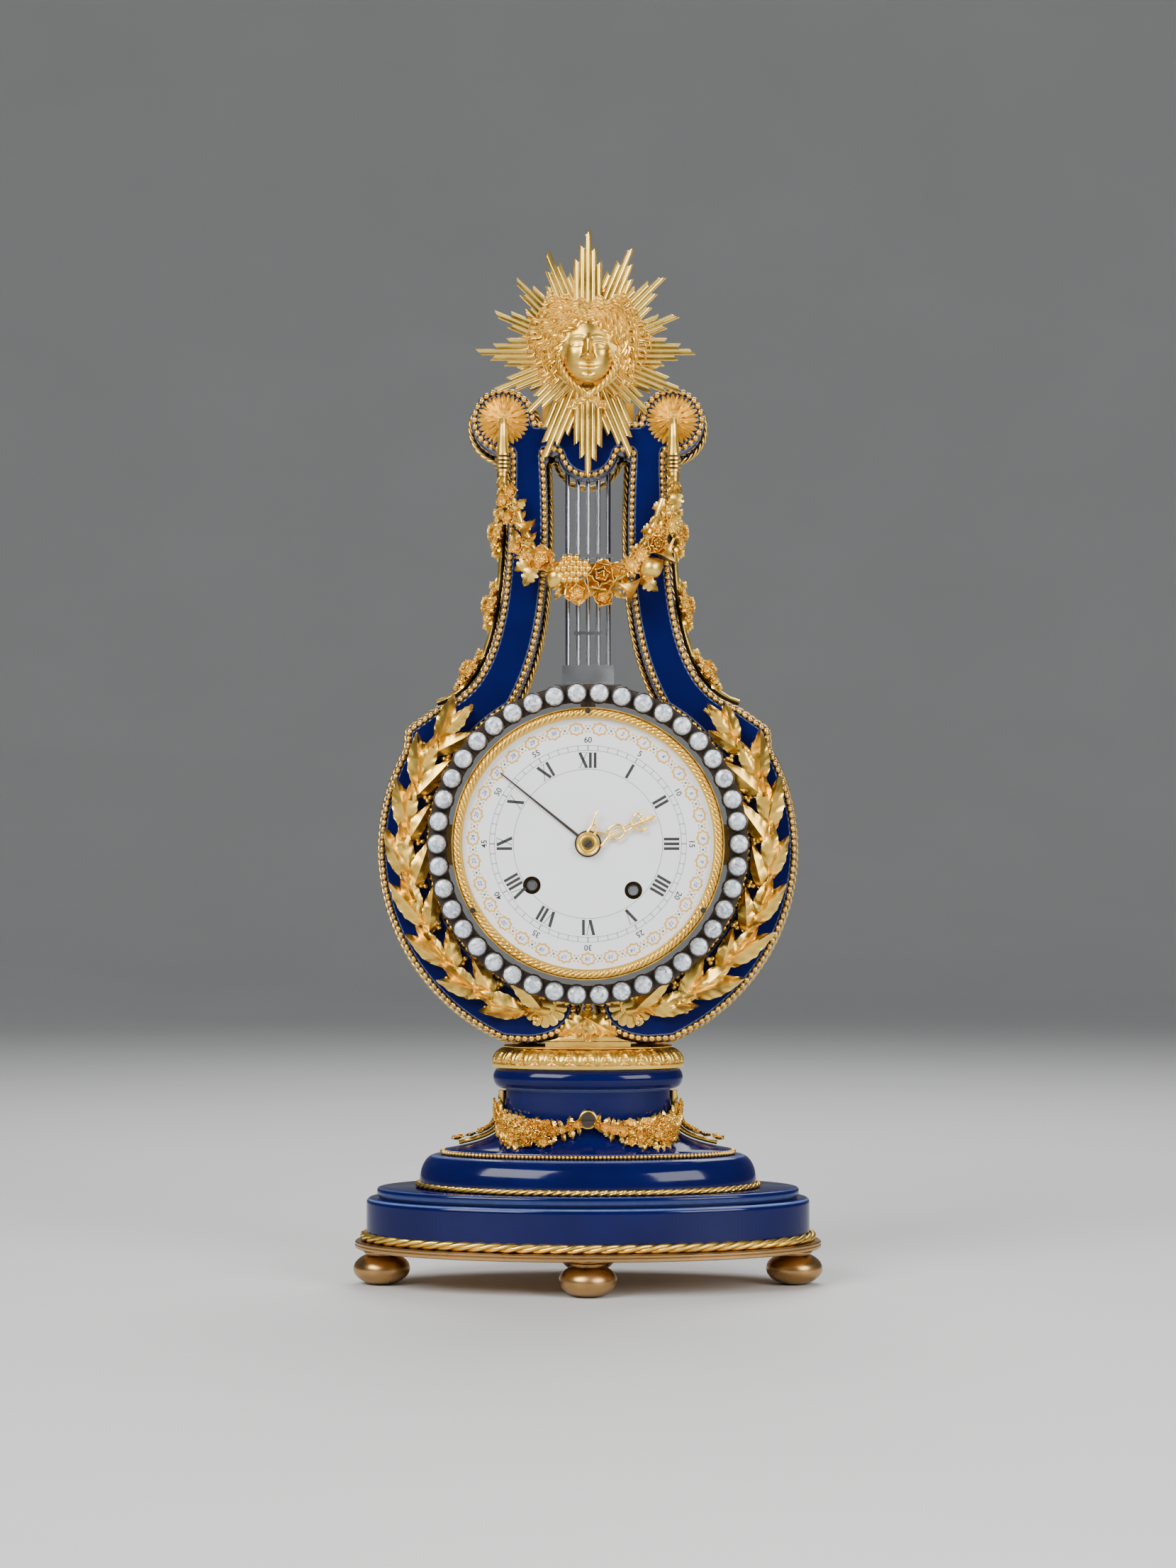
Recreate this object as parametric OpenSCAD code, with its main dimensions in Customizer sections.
// Lyre clock: oval base, porcelain lyre, sun with mask, drum movement and a ring pendulum of brilliants.
// Millimetres, +Z up, the dial faces -Y, the origin lies on the floor under the middle of the oval base.

/* [Base] */
// Height of a bun foot with its neck
foot_h = 20.8; // [16:0.2:26]
// Radius of a bun foot
foot_r = 16.5; // [13:0.1:18]
// Radius of the flat on which a foot stands
foot_flat_r = 8; // [5:0.5:10]
// Radius of a foot's neck
foot_neck_r = 9; // [6:0.5:11]
// Distance of the side feet's middles from the plate's edge
side_foot_in = 15.5; // [14:0.5:20]
// Distance of the front and back feet's middles from the plate's edge
front_foot_in = 20; // [18:0.5:26]
// Half width of the gilt base plate
plate_a = 135.5; // [132:0.5:140]
// Half depth of the gilt base plate
plate_b = 72; // [71:0.5:78]
// Thickness of the gilt base plate
plate_t = 4.4; // [3:0.1:6]
// Margin of the base plate beside the plinth
side_margin = 6.6; // [6:0.1:8]
// Margin of the base plate before and behind the plinth
front_margin = 6; // [5.5:0.1:8]
// Height of the plinth's wall
plinth_h = 24.8; // [18:0.2:32]
// How far the step lies inside the plinth's edge
step_in = 6.1; // [4:0.1:8]
// Height of the plinth's step
step_h = 6; // [4:0.2:9]
// Depth of the groove under the step
step_groove = 1.2; // [0.6:0.1:2]
// Height of the groove under the step
step_groove_h = 1.4; // [0.8:0.1:2.4]
// Thickness of the rope moulding round the plinth
lower_rope_d = 5.4; // [4:0.1:6]
// Thickness of the rope moulding round the cushion tier
upper_rope_d = 3.6; // [2.6:0.1:4.6]
// Margin of the step beside the cushion tier
cushion_side_margin = 24.8; // [20:0.1:28]
// Margin of the step before and behind the cushion tier
cushion_front_margin = 6.7; // [5.6:0.1:9]
// How far the cushion tier's edge rounds in
cushion_round = 9.4; // [6:0.1:9.8]
// Height of the cushion tier
cushion_h = 19; // [14:0.2:26]
// Thickness of the bead ring round the waist's foot
bead_ring_d = 3; // [2.2:0.1:3.2]
// How far the waist's foot lies inside the cushion tier's foot
waist_foot_in = 13.8; // [13:0.1:16]
// Height of the waist's foot edge
waist_edge_h = 3; // [2.4:0.1:5]
// Half width of the waist at its top
waist_a = 48; // [44:0.1:54]
// Half depth of the waist at its top
waist_b = 28; // [25:0.1:31]
// Height of the waist
waist_h = 38.5; // [32:0.5:46]
// Half width of the round collar
collar_a = 55.2; // [54:0.1:60]
// Half depth of the round collar
collar_b = 33; // [31:0.1:36]
// Height of the round collar
collar_h = 12.3; // [9:0.1:16]
// Half width of the leaf collar at its foot
leaf_collar_a = 55.7; // [53:0.1:58]
// Half depth of the leaf collar at its foot
leaf_collar_b = 33.5; // [31:0.1:36]
// How far the leaf collar rounds in towards its top
leaf_collar_round = 9.5; // [6:0.1:11]
// Height of the leaf collar
leaf_collar_h = 12.7; // [10:0.1:16]
// Radius of the tie rod
tie_r = 4; // [3:0.1:4.4]
// Clearance round the tie rod
tie_gap = 0.4; // [0.2:0.1:0.8]
// Width of the tie nut across its flats
nut_w = 14; // [12:0.5:18]
// Height of the tie nut
nut_h = 6; // [4:0.5:8]
// Radius of the flower swag round the waist
waist_swag_r = 3.4; // [2.4:0.1:4.2]
// Height of the flower swag at the front and back, as a share of the waist's curve
waist_swag_front = 0.55; // [0.4:0.01:0.7]
// Height of the flower swag at the sides, as a share of the waist's curve
waist_swag_side = 0.88; // [0.75:0.01:0.92]
// Radius of the swag's screw heads
swag_screw_r = 4; // [3:0.1:5]

/* [Lyre] */
// Thickness of the lyre
lyre_t = 36; // [34:0.5:44]
// Width of the crescents beside the dial
crescent_w = 30.1; // [27:0.1:33]
// Gap between the drum and the opening round it
opening_gap = 18.2; // [17:0.1:19.5]
// How far the foot cuts into the lyre's outer round
foot_cut = 9.5; // [8:0.1:11]
// Height of the dial's centre over the outer round's centre
dial_lift = 3; // [1:0.5:5]
// Height of the arms' feet over the drum's top
arm_foot_lift = 7; // [5:0.5:9]
// Drop of the shoulder tips below the arms' feet
shoulder_drop = 12.5; // [10:0.5:15]
// Thickness of the gilt foot bar under the lobes
foot_bar_t = 2.7; // [2:0.1:4]
// Half width of the gilt foot bar
foot_bar_a = 24.5; // [20:0.5:30]
// Half width of the gap between the lobes
lobe_gap = 5.9; // [5.6:0.1:8]
// Half width of the outer arm edge at its top
arm_out_top = 44.8; // [43:0.1:47]
// Half width of the opening at its top
arm_in_top = 24.6; // [23.6:0.1:26]
// Height of the opening's top over the arms' feet
opening_top_lift = 146.5; // [143:0.5:150]
// Radius of the tongue
tongue_r = 17.5; // [16.8:0.1:19]
// How far the tongue hangs below the opening's top
tongue_drop = 15; // [10:0.5:16]
// Height of the ears' centres over the opening's top
ear_lift = 18.5; // [16:0.5:21]
// Distance of the ears' centres from the middle
ear_x = 48.7; // [47.5:0.1:50]
// Radius of an ear
ear_r = 18.6; // [17.5:0.1:20]
// Height of the lyre's top edge over the opening's top
lyre_top_lift = 17.5; // [16:0.5:19]
// Width of the bead border
bead_d = 3.6; // [2.8:0.1:4]
// Width of the rope border at the back
rope_d = 3.4; // [2.6:0.1:4]
// Depth of the rope border
rope_depth = 5; // [4:0.1:7]
// Radius of an ear rosette
rosette_r = 15; // [13:0.1:16]
// Height of an ear rosette
rosette_h = 6; // [4:0.1:8]
// Petals of an ear rosette
rosette_petals = 14; // [10:1:18]

/* [Ornament] */
// Half width of the front swag
swag_a = 48.5; // [46:0.5:51]
// Drop of the front swag
swag_drop = 84; // [76:0.5:90]
// Thickness of the front swag's strand
swag_d = 10.4; // [7:0.1:12]
// Thickness of the straps that carry the front swag
strap_d = 3.6; // [2.6:0.1:5]
// Thickness of a side drop's clusters
drop_d = 13; // [10:0.1:14]
// Place of the laurel stem across the crescent, as a share of its width
laurel_share = 0.46; // [0.4:0.01:0.52]
// Radius of a laurel stem
laurel_stem_r = 1.8; // [1.2:0.1:2.4]
// Leaf groups along a laurel branch
laurel_groups = 9; // [6:1:11]
// Length of a laurel leaf
leaf_l = 30; // [24:0.5:34]
// Width of a laurel leaf
leaf_w = 10; // [7:0.1:12]
// Thickness of a laurel leaf
leaf_t = 1.6; // [1.2:0.1:2]
// Radius of the acorn on the finial
acorn_r = 2.8; // [2.2:0.1:3.4]
// Height of the finial's leaf
finial_leaf_h = 12.4; // [10:0.1:14]

/* [Sun] */
// Height of the sun's centre over the ears' centres
sun_lift = 38; // [35:0.5:41]
// Length of the sun's longest ray
sun_r = 70; // [66:0.5:72]
// Width of a ray cluster
ray_w = 14; // [11:0.1:16]
// Thickness of a ray
ray_t = 2; // [1.5:0.1:3]
// Ray clusters round the sun
ray_count = 16; // [12:1:20]
// Half width of the mask with its hair
mask_a = 38; // [34:0.5:41]
// Half height of the mask with its hair
mask_b = 32; // [29:0.5:36]
// Depth of the mask
mask_d = 23; // [18:0.5:28]
// Thickness of the sun's bracket
sun_bracket_t = 5; // [4:0.1:6]

/* [Drum and dial] */
// Visible radius of the dial
dial_r = 71.3; // [70:0.1:72]
// How far the drum is wider than the dial's visible radius
drum_lap = 0.7; // [0.4:0.1:1.4]
// Wall of the drum
drum_wall = 3; // [2:0.1:3.4]
// Distance of the dial's front face before the lyre's middle
dial_front = 41.5; // [41:0.1:44]
// Thickness of the dial
dial_t = 1.5; // [1.2:0.1:2]
// Thickness of the drum's front flange
flange_t = 2; // [1.5:0.1:2.4]
// Depth of the drum behind the lyre's middle
drum_back = 42; // [40:0.5:50]
// Width of the bezel
bezel_w = 6.2; // [5.8:0.1:7]
// Depth of the bezel
bezel_d = 5.5; // [4:0.1:7]
// Radius of a winding hole
wind_hole_r = 5.1; // [4.4:0.1:6]
// Place of the strike winding hole beside the hands' centre
strike_x = -31.9; // [-32.4:0.1:-31.4]
// Place of the strike winding hole below the hands' centre
strike_z = -23.5; // [-24:0.1:-23]
// Place of the going winding hole beside the hands' centre
going_x = 25.8; // [25.2:0.1:26.4]
// Place of the going winding hole below the hands' centre
going_z = -26.4; // [-27:0.1:-26]
// Side of a winding square
wind_square = 4; // [3:0.1:4.4]
// Thickness of the rear door
door_t = 2; // [1.5:0.1:3]
// Radius of the door's hinge pin
hinge_pin_r = 1.5; // [1.2:0.1:1.8]
// Thickness of the brackets that hold the drum
bracket_t = 3; // [2:0.1:4]
// Half height of the brackets that hold the drum
bracket_a = 12; // [10:0.5:16]
// Running clearance on a radius
run_gap = 0.05; // [0.02:0.01:0.1]
// Clearance between pieces that move past each other
pass_gap = 0.4; // [0.3:0.05:0.6]

/* [Hands] */
// Length of the hour hand
hour_l = 41.7; // [36:0.1:44]
// Angle of the hour hand past twelve
hour_angle = 67.7; // [0:0.1:360]
// Length of the minute hand
minute_l = 20; // [16:0.1:52]
// Angle of the minute hand past twelve
minute_angle = 17; // [0:0.1:360]
// How far the date hand ends short of the bezel
date_short = 7.3; // [4:0.1:12]
// Angle of the date hand past twelve
date_angle = 309; // [0:0.1:360]
// Thickness of a hand
hand_t = 0.9; // [0.6:0.1:1.1]
// Radius of the gilt hub
hub_r = 6.8; // [5.8:0.1:7.2]
// Radius of the date hand's disc
date_disc_r = 7.6; // [7.3:0.1:8.6]

/* [Movement] */
// Thickness of a movement plate
mplate_t = 2.5; // [2:0.1:3]
// Gap between the movement plates
mplate_gap = 39.5; // [39:0.5:41]
// Distance of the front plate's inner face before the lyre's middle
mplate_front = 27.5; // [27.2:0.1:27.8]
// Radius of a movement pillar
pillar_r = 3; // [2.5:0.1:4]
// Radius of an arbor
arbor_r = 1.1; // [0.9:0.05:1.15]
// Radius of a pivot
pivot_r = 0.7; // [0.5:0.05:0.8]
// Thickness of a wheel
wheel_t = 1.6; // [1.2:0.1:2]
// Radius of a barrel's wall
barrel_r = 18.5; // [16:0.1:19]
// Depth of a barrel
barrel_d = 20; // [16:0.5:21]
// Radius of a barrel arbor
barrel_arbor_r = 3; // [2.6:0.1:3.4]
// Radius of the escape wheel
escape_r = 10; // [9.5:0.1:10.4]
// Height of the escape wheel's centre over the hands' centre
escape_rise = 29; // [28.6:0.1:29.4]
// Height of the anchor's axis over the hands' centre
anchor_rise = 45; // [44.6:0.1:46]
// Radius of the bell
bell_r = 30; // [24:0.5:31]
// Depth of the bell
bell_d = 15; // [12:0.5:16]
// Wall of the bell
bell_wall = 1.8; // [1.2:0.1:2.4]

/* [Pendulum] */
// Height of the knife edge over the ears' centres
pivot_lift = 16; // [14:0.5:18]
// Reach of the suspension bracket before the rods
bridge_front = 9; // [8.6:0.1:9.4]
// Reach of the suspension bracket behind the rods
bridge_back = 7.6; // [7:0.1:7.8]
// Height of the upper crossbar over the block
upper_bar_rise = 63; // [50:0.5:76]
// Height of the lower crossbar over the block
lower_bar_rise = 18; // [10:0.5:30]
// Distance of the rods behind the lyre's middle
rod_y = 5; // [4:0.1:6]
// Radius of a rod
rod_r = 1.4; // [1.1:0.05:1.6]
// Distance between the rods
rod_pitch = 5.9; // [5.2:0.1:6]
// Rods of the gridiron
rod_count = 5; // [3:2:5]
// Gap between the bezel and the ring's settings
ring_gap = 2.55; // [2.2:0.05:3]
// Stones round the ring
stone_count = 42; // [36:1:42]
// Radius of a stone
stone_r = 5.25; // [4.6:0.05:5.3]
// Radius of a stone's setting
setting_r = 6.15; // [6:0.05:6.2]
// Distance of the ring's back before the lyre's middle
ring_back = 31; // [30.8:0.1:31.2]
// Thickness of the ring's back
ring_t = 1.4; // [1:0.1:1.6]
// Depth of a setting
setting_d = 4; // [3.4:0.1:4.2]
// Half width of the pendulum's block
block_a = 15; // [14:0.1:16]
// Height of the pendulum's block
block_h = 13; // [11:0.1:15]
// Half width of the bracket plate under the block
arm_plate_a = 19.5; // [17:0.1:21]
// Thickness of the bracket plate under the block
arm_plate_t = 5; // [4:0.1:6]
// Radius of the pin that the crutch moves
crutch_pin_r = 1.5; // [1.2:0.1:1.7]

/* [Hidden] */
$fn = 48;

gilt = [0.83, 0.61, 0.22];
cobalt = [0.03, 0.05, 0.30];
steel = [0.62, 0.63, 0.65];
brass = [0.72, 0.58, 0.30];
enamel = [0.95, 0.95, 0.93];

// Half widths and depths of the stacked base, each from the one below it
side_foot_x = plate_a - side_foot_in;
front_foot_y = plate_b - front_foot_in;
plinth_a = plate_a - side_margin;
plinth_b = plate_b - front_margin;
step_a = plinth_a - step_in;
step_b = plinth_b - step_in;
cushion_a = step_a - cushion_side_margin;
cushion_b = step_b - cushion_front_margin;
waist_foot_a = cushion_a - waist_foot_in;
waist_foot_b = cushion_b - waist_foot_in;

// Heights of the stacked base
plate_z = foot_h;
plinth_z = plate_z + plate_t;
step_z = plinth_z + plinth_h;
cushion_z = step_z + step_h;
waist_z = cushion_z + cushion_h;
collar_z = waist_z + waist_h;
leaf_z = collar_z + collar_h;
lyre_z = leaf_z + leaf_collar_h;

// Rounds about the dial, each from the one inside it
drum_r = dial_r + drum_lap;
bezel_r = dial_r + bezel_w;
stone_circle_r = bezel_r + ring_gap + setting_r;
opening_r = drum_r + opening_gap;
outer_r = opening_r + crescent_w;
laurel_sweep_r = opening_r + laurel_share * crescent_w;
date_l = dial_r - date_short;

// Heights of the lyre's features
lobe_z = lyre_z + foot_bar_t;
round_z = lobe_z + outer_r - foot_cut;
dial_z = round_z + dial_lift;
arm_foot_z = dial_z + drum_r + arm_foot_lift;
shoulder_z = arm_foot_z - shoulder_drop;
opening_top_z = arm_foot_z + opening_top_lift;
ear_z = opening_top_z + ear_lift;
top_z = opening_top_z + lyre_top_lift;
sun_z = ear_z + sun_lift;
pivot_z = ear_z + pivot_lift;

// Faces of the lyre and of what lies in front of it
face_y = -lyre_t / 2;
back_y = lyre_t / 2;
seat = 0.1;
bead_face_y = face_y - seat - bead_d;
ray_back_y = face_y - 7;
oval_n = 64;
overlap = 0.3;

// Curves and meshes
function oval(a, b) = [for (i = [0:oval_n - 1]) [a * cos(360 * i / oval_n), b * sin(360 * i / oval_n)]];
function arc(c, r, a0, a1, n) = [for (i = [0:n]) let (t = a0 + (a1 - a0) * i / n) c + r * [cos(t), sin(t)]];
function bezier(p, n) = [for (i = [0:n]) let (t = i / n, s = 1 - t)
    s * s * s * p[0] + 3 * s * s * t * p[1] + 3 * s * t * t * p[2] + t * t * t * p[3]];
function backwards(v) = [for (i = [len(v) - 1:-1:0]) v[i]];
function flipped(v) = [for (p = backwards(v)) [-p[0], p[1]]];
function part_of(v, i0, i1) = [for (i = [i0:i1]) v[i]];
function unit(v) = v / norm(v);
function right_of(v) = unit([v[1], -v[0]]);

// Closed path moved to its right by d, with mitred corners
function moved_path(v, d) = let (n = len(v)) [for (i = [0:n - 1])
    let (a = right_of(v[i] - v[(i + n - 1) % n]), b = right_of(v[(i + 1) % n] - v[i]))
    v[i] + d * (a + b) / (1 + a * b)];

// Solid through rows of points, each row a closed loop that turns right-handed about the way forward
module skin(rows, ring = false) {
    n = len(rows[0]);
    k = len(rows);
    steps = ring ? k : k - 1;
    sides = [for (j = [0:steps - 1]) for (i = [0:n - 1])
        let (a = j * n + i, b = j * n + (i + 1) % n, d = ((j + 1) % k) * n + i,
            c = ((j + 1) % k) * n + (i + 1) % n)
        for (f = [[a, d, c], [a, c, b]]) f];
    caps = ring ? [] : [[for (i = [0:n - 1]) i], [for (i = [n - 1:-1:0]) (k - 1) * n + i]];
    polyhedron([for (r = rows) for (p = r) p], concat(sides, caps));
}

// Oval solid through levels of half width, half depth and height
module oval_loft(levels) {
    skin([for (l = levels) [for (p = oval(l[0], l[1])) [p[0], p[1], l[2]]]]);
}

// Oval moulding with a section of offsets from a base oval, listed clockwise from its top
module oval_moulding(a, b, section) {
    skin([for (i = [0:oval_n - 1]) let (t = 360 * i / oval_n)
        [for (s = section) [(a + s[0]) * cos(t), (b + s[0]) * sin(t), s[1]]]], ring = true);
}

// Half-round section of thickness d that stands on height z, for an oval moulding
function moulding_section(d, z) = concat([[0, z + d]],
    [for (t = [60:-30:-60]) [d * (0.5 + 0.5 * cos(t)), z + d / 2 + d / 2 * sin(t)]], [[0, z]]);

// Tube through points with a radius at each, for paths that do not run along the axis given
module tube(path, radii, sides, axis) {
    n = len(path);
    skin([for (i = [0:n - 1])
        let (t = unit(path[min(i + 1, n - 1)] - path[max(i - 1, 0)]), u = unit(cross(axis, t)),
            w = cross(t, u))
        [for (k = [0:sides - 1]) let (g = 360 * k / sides) path[i] + radii[i] * (cos(g) * u + sin(g) * w)]]);
}

// Slab of a flat outline in X and Z between two depths
module slab(y0, y1) {
    translate([0, y1, 0])
    rotate([90, 0, 0])
    linear_extrude(y1 - y0)
    children();
}

// Round bar along Y between two depths
module bar_y(r, y0, y1) {
    translate([0, y1, 0])
    rotate([90, 0, 0])
    cylinder(r = r, h = y1 - y0);
}

// Turned solid about Y from a profile of radius and depth
module turned(profile) {
    rotate([90, 0, 0])
    rotate_extrude()
    polygon([for (p = profile) [p[0], -p[1]]]);
}

// Block from its low corner to its high corner
module block(lo, hi) {
    translate(lo)
    cube(hi - lo);
}

// Place beside and above the hands' centre
module at_dial(p) {
    translate([p[0], 0, dial_z + p[1]])
    children();
}

// Left and right copies
module both_sides() {
    children();
    mirror([1, 0, 0])
    children();
}

// Base
module bun_feet() {
    color(gilt)
    for (p = [[side_foot_x, 0], [-side_foot_x, 0], [0, front_foot_y], [0, -front_foot_y]])
        translate([p[0], p[1], 0])
        bun_foot();
}

module bun_foot() {
    bun_h = foot_h * 0.82;
    neck_h = foot_h - bun_h;
    mid = bun_h / 2;
    bulge = foot_r - foot_flat_r;
    side = [for (t = [-80:20:80]) [foot_flat_r + bulge * cos(t), mid + mid * sin(t)]];
    rotate_extrude()
    polygon(concat([[0, 0], [foot_flat_r, 0]], side,
        [[foot_neck_r, bun_h], [foot_neck_r, foot_h], [0, foot_h]]));
}

module tie_bore() {
    cylinder(r = tie_r + tie_gap, h = lyre_z);
}

module base_plate() {
    color(gilt)
    difference() {
        translate([0, 0, plate_z])
        linear_extrude(plate_t)
        polygon(oval(plate_a, plate_b));
        tie_bore();
    }
}

module rope_mouldings() {
    color(gilt) {
        oval_moulding(plinth_a + seat, plinth_b + seat, moulding_section(lower_rope_d, plinth_z));
        oval_moulding(cushion_a + seat, cushion_b + seat, moulding_section(upper_rope_d, cushion_z));
    }
}

module plinth() {
    color(cobalt)
    difference() {
        union() {
            translate([0, 0, plinth_z])
            linear_extrude(plinth_h)
            polygon(oval(plinth_a, plinth_b));
            translate([0, 0, step_z - overlap])
            linear_extrude(step_groove_h + 2 * overlap)
            polygon(oval(step_a - step_groove, step_b - step_groove));
            translate([0, 0, step_z + step_groove_h])
            linear_extrude(step_h - step_groove_h)
            polygon(oval(step_a, step_b));
        }
        tie_bore();
    }
}

module cushion_tier() {
    color(cobalt)
    difference() {
        oval_loft(concat([[cushion_a, cushion_b, cushion_z]],
            [for (t = [0:18:90]) let (in = cushion_round * (1 - cos(t)))
                [cushion_a - in, cushion_b - in,
                    cushion_z + upper_rope_d + (cushion_h - upper_rope_d) * sin(t)]]));
        tie_bore();
    }
}

module bead_ring() {
    color(gilt)
    oval_moulding(waist_foot_a + seat, waist_foot_b + seat, moulding_section(bead_ring_d, waist_z));
}

// Share of the waist's spread that is left at a share of its height, straight between the levels
flare_power = 6;
waist_levels = [0, 0.03, 0.07, 0.12, 0.2, 0.32, 0.5, 0.75, 1];
function waist_flare(s) = lookup(s, [for (l = waist_levels) [l, pow(1 - l, flare_power)]]);
function waist_half_a(s) = waist_a + (waist_foot_a - waist_a) * waist_flare(s);
function waist_half_b(s) = waist_b + (waist_foot_b - waist_b) * waist_flare(s);
waist_curve_z = waist_z + waist_edge_h;
waist_curve_h = waist_h - waist_edge_h;

module waist() {
    color(cobalt)
    difference() {
        oval_loft(concat([[waist_foot_a, waist_foot_b, waist_z]],
            [for (s = waist_levels) [waist_half_a(s), waist_half_b(s), waist_curve_z + waist_curve_h * s]]));
        tie_bore();
    }
}

// Swag round the waist: four festoons from the front and back screws to the sides, and a pendant at each side
swag_low_turn = 26;
swag_low = 0.1;
swag_seat = 0.8;
function swag_high_at(q) = q < swag_low_turn
    ? swag_low + (waist_swag_front - swag_low) * pow(1 - q / swag_low_turn, 2)
    : swag_low + (waist_swag_side - swag_low) * pow((q - swag_low_turn) / (90 - swag_low_turn), 2);
function from_front(t) = abs(t % 180 - 90);
function waist_slope(t, s) = -flare_power * pow(1 - s, flare_power - 1)
    * ((waist_foot_a - waist_a) * pow(cos(t), 2) + (waist_foot_b - waist_b) * pow(sin(t), 2));
// Point off the waist's surface, at a distance along the surface from a share of its height
function swag_point(t, s, off, along) =
    let (q = max(0, s + along / norm([waist_slope(t, s), waist_curve_h])),
        n = max(off, 2 * seat) * unit([waist_curve_h, -waist_slope(t, q)]))
    [(waist_half_a(q) + n[0]) * cos(t), (waist_half_b(q) + n[0]) * sin(t),
        waist_curve_z + waist_curve_h * q + n[1]];
module waist_swag() {
    steps = 96;
    links = 12;
    pendant_low = 0.04;
    section = [0:60:300];
    color(gilt) {
        skin([for (i = [0:steps - 1])
            let (t = 360 * i / steps, s = swag_high_at(from_front(t)),
                r = waist_swag_r * (0.9 + 0.1 * cos(i * 120)))
            [for (k = section) swag_point(t, s, r * (swag_seat + sin(k)), r * cos(k))]], ring = true);
        for (t = [0, 180])
            skin([for (i = [0:links])
                let (s = waist_swag_side + (pendant_low - waist_swag_side) * i / links,
                    r = waist_swag_r * (0.8 + 0.25 * sin(180 * i / links)), side = t == 0 ? 1 : -1)
                [for (k = section) swag_point(t, s, r * (swag_seat + sin(k)), 0) + [0, side * r * cos(k), 0]]]);
    }
}

swag_screw_z = waist_curve_z + waist_curve_h * waist_swag_front;
swag_screw_y = waist_half_b(waist_swag_front) + waist_swag_r * (swag_seat + sin(60)) + seat;
module swag_screws() {
    slot_w = 0.8;
    head_t = 2;
    color(brass)
    for (turn = [0, 180])
        rotate([0, 0, turn])
        translate([0, 0, swag_screw_z])
        difference() {
            bar_y(swag_screw_r, -swag_screw_y - head_t, -swag_screw_y);
            block([-swag_screw_r, -swag_screw_y - head_t - 1, -slot_w / 2],
                [swag_screw_r, -swag_screw_y - head_t * 0.6, slot_w / 2]);
        }
}

module round_collar() {
    lip = collar_h / 2;
    color(cobalt)
    difference() {
        oval_loft([for (t = [-90:22.5:90]) let (in = lip * 0.8 * (1 - cos(t)))
            [collar_a - in, collar_b - in, collar_z + lip + lip * sin(t)]]);
        tie_bore();
    }
}

module leaf_collar() {
    band_h = leaf_collar_h * 0.2;
    color(gilt)
    difference() {
        oval_loft(concat([[leaf_collar_a, leaf_collar_b, leaf_z]],
            [for (t = [0:18:90]) [leaf_collar_a - leaf_collar_round * (1 - cos(t)),
                leaf_collar_b - leaf_collar_round * (1 - cos(t)),
                leaf_z + band_h + (leaf_collar_h - band_h) * sin(t)]]));
        tie_bore();
    }
}

tie_top_z = lobe_z + 7;
module tie_rod() {
    color(steel)
    translate([0, 0, plate_z - nut_h - 2])
    cylinder(r = tie_r, h = tie_top_z - plate_z + nut_h + 2);
}

module tie_nut() {
    corner_r = nut_w / sqrt(3);
    color(steel)
    translate([0, 0, plate_z - nut_h])
    difference() {
        cylinder(r = corner_r, h = nut_h, $fn = 6);
        translate([0, 0, -1])
        cylinder(r = tie_r + run_gap, h = nut_h + 2);
    }
}

// Lyre
finial_front_y = face_y - 2;
module lyre_foot() {
    block_a = lobe_gap - 0.7;
    block_h = 10;
    color(gilt)
    difference() {
        union() {
            block([-foot_bar_a, finial_front_y - 1, lyre_z], [foot_bar_a, -face_y - 2, lobe_z]);
            block([-block_a, face_y + 4, lobe_z - overlap], [block_a, -face_y - 4, lobe_z + block_h]);
        }
        translate([0, 0, lyre_z - 1])
        cylinder(r = tie_r + run_gap, h = tie_top_z - lyre_z + 1.5);
    }
}

lobe_start_z = dial_z - sqrt(pow(opening_r, 2) - pow(lobe_gap, 2));
outer_start = asin((lobe_z - round_z) / outer_r);
outer_end = 29;
shoulder_x = outer_r * cos(outer_end) - 0.7;
arm_in_foot = 60.6;
tongue_z = opening_top_z - tongue_drop + tongue_r;
tongue_start = acos((tongue_z - opening_top_z) / tongue_r);
ear_low = 258;
ear_top = 180 - asin((top_z - ear_z) / ear_r);

// Curve of an arm's outer edge, from its foot up to the ear
arm_out_curve = [[shoulder_x - 17.9, arm_foot_z], [arm_out_top + 1.7, arm_foot_z + 12],
    [arm_out_top + 1.9, arm_foot_z + opening_top_lift * 0.505], [arm_out_top, ear_z - ear_r - 12.4]];
arm_out = bezier(arm_out_curve, 14);
// Curve of an arm's inner edge, from the round opening up to the top
arm_in_low = [opening_r * cos(arm_in_foot), dial_z + opening_r * sin(arm_in_foot)];
arm_in = bezier([arm_in_low, [arm_in_top + 4.4, arm_foot_z + 26],
    [arm_in_top - 5.1, arm_foot_z + opening_top_lift * 0.416], [arm_in_top, opening_top_z]], 14);
lobe = bezier([[lobe_gap, lobe_start_z], [lobe_gap + 0.6, lobe_start_z - 14.6], [lobe_gap + 10, lobe_z + 1.3],
    [lobe_gap + 28, lobe_z]], 8);
out_right = concat(lobe, arc([0, round_z], outer_r, outer_start, outer_end, 26), [[shoulder_x, shoulder_z]],
    arm_out, arc([ear_x, ear_z], ear_r, ear_low - 360, ear_top, 18));
lobe_turn = 0.25 - acos(lobe_gap / opening_r);
in_right = backwards(part_of(arc([0, dial_z], opening_r, lobe_turn, arm_in_foot, 30), 0, 29));
tongue = arc([0, tongue_z], tongue_r, 270, 270 + tongue_start, 6);
inner_right = concat(tongue, backwards(arm_in), in_right);
outline = concat(out_right, flipped(out_right), flipped(part_of(inner_right, 1, len(inner_right) - 1)),
    inner_right);

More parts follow.
